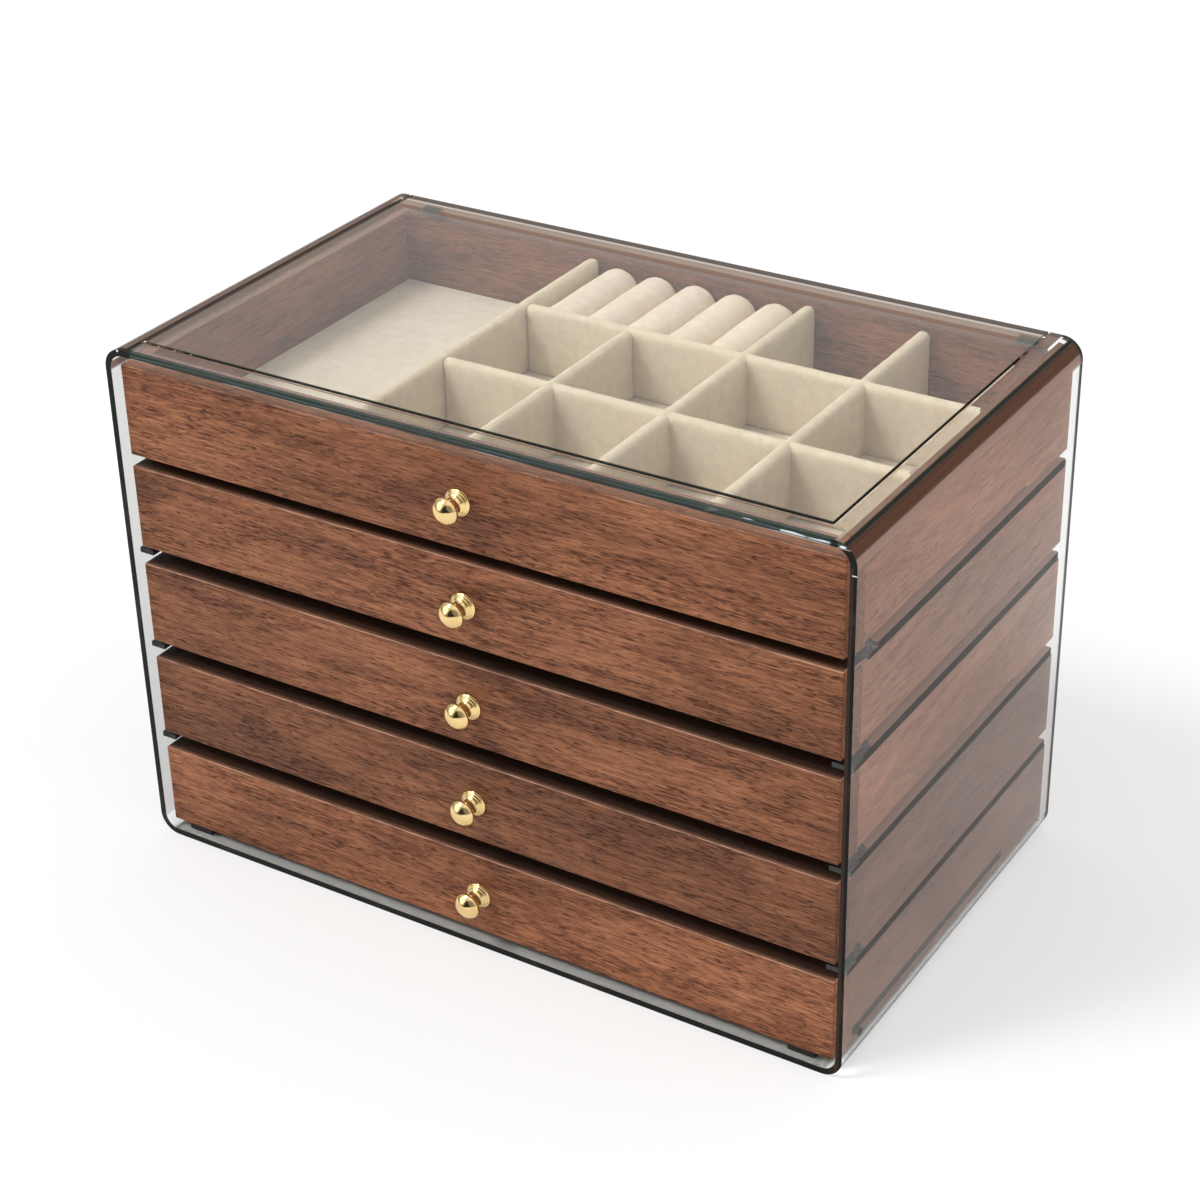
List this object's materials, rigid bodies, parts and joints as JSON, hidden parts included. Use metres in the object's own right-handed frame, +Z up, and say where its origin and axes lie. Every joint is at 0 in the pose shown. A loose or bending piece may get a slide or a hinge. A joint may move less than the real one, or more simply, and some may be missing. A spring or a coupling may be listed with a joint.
{
  "type": "jewelry box",
  "caption": "Clear bent acrylic case with a hinged top lid over sliding walnut drawers with brass knobs; the top drawer has velvet dividers and ring rolls.",
  "frame": {"origin": "centre of the underside of the clear shell", "axes": "+X to the right as seen from the front, along the width; -Y out of the drawer fronts; +Z up"},
  "size_m": [0.3, 0.1828, 0.208],
  "materials": {
    "clear_acrylic": "polished clear sheet, dark at its cut edges",
    "walnut": "satin red-brown walnut",
    "brass": "polished pale brass",
    "velvet": "short-pile beige velvet",
    "black_strip": "matt black",
    "black_pin": "dark and glossy",
    "pad_rubber": "matt black",
    "screw_steel": "plain steel"
  },
  "bodies": {
    "case": {"acrylic_shell": "clear_acrylic", "left_rails": "black_strip", "right_rails": "black_strip", "left_stop_pins": "black_pin", "right_stop_pins": "black_pin", "glide_pads": "pad_rubber", "lid_hinge_pins": "screw_steel"},
    "lid": {"top_lid": "clear_acrylic", "lid_blocks": "clear_acrylic"},
    "drawer_1": {"drawer_1_front": "walnut", "drawer_1_left_side": "walnut", "drawer_1_right_side": "walnut", "drawer_1_back": "walnut", "drawer_1_bottom": "walnut", "drawer_1_floor_pad": "velvet", "drawer_1_knob": "brass", "drawer_1_knob_screw": "screw_steel", "main_divider": "velvet", "column_divider_1": "velvet", "column_divider_2": "velvet", "column_divider_3": "velvet", "back_cross_divider": "velvet", "front_cross_divider": "velvet", "ring_rolls": "velvet"},
    "drawer_2": {"drawer_2_front": "walnut", "drawer_2_left_side": "walnut", "drawer_2_right_side": "walnut", "drawer_2_back": "walnut", "drawer_2_bottom": "walnut", "drawer_2_floor_pad": "velvet", "drawer_2_knob": "brass", "drawer_2_knob_screw": "screw_steel"},
    "drawer_3": {"drawer_3_front": "walnut", "drawer_3_left_side": "walnut", "drawer_3_right_side": "walnut", "drawer_3_back": "walnut", "drawer_3_bottom": "walnut", "drawer_3_floor_pad": "velvet", "drawer_3_knob": "brass", "drawer_3_knob_screw": "screw_steel"},
    "drawer_4": {"drawer_4_front": "walnut", "drawer_4_left_side": "walnut", "drawer_4_right_side": "walnut", "drawer_4_back": "walnut", "drawer_4_bottom": "walnut", "drawer_4_floor_pad": "velvet", "drawer_4_knob": "brass", "drawer_4_knob_screw": "screw_steel"},
    "drawer_5": {"drawer_5_front": "walnut", "drawer_5_left_side": "walnut", "drawer_5_right_side": "walnut", "drawer_5_back": "walnut", "drawer_5_bottom": "walnut", "drawer_5_floor_pad": "velvet", "drawer_5_knob": "brass", "drawer_5_knob_screw": "screw_steel"}
  },
  "joints": [
    {"name": "drawer_1_slide", "type": "slide", "parent": "case", "child": "drawer_1", "axis": [0, -1, 0], "range_m": [0, 0.12]},
    {"name": "drawer_2_slide", "type": "slide", "parent": "case", "child": "drawer_2", "axis": [0, -1, 0], "range_m": [0, 0.12]},
    {"name": "drawer_3_slide", "type": "slide", "parent": "case", "child": "drawer_3", "axis": [0, -1, 0], "range_m": [0, 0.12]},
    {"name": "drawer_4_slide", "type": "slide", "parent": "case", "child": "drawer_4", "axis": [0, -1, 0], "range_m": [0, 0.12]},
    {"name": "drawer_5_slide", "type": "slide", "parent": "case", "child": "drawer_5", "axis": [0, -1, 0], "range_m": [0, 0.12]},
    {"name": "lid_hinge", "type": "hinge", "parent": "case", "child": "lid", "pos_m": [0, 0.0838, 0.20675], "axis": [-1, 0, 0], "range_deg": [0, 100]}
  ]
}
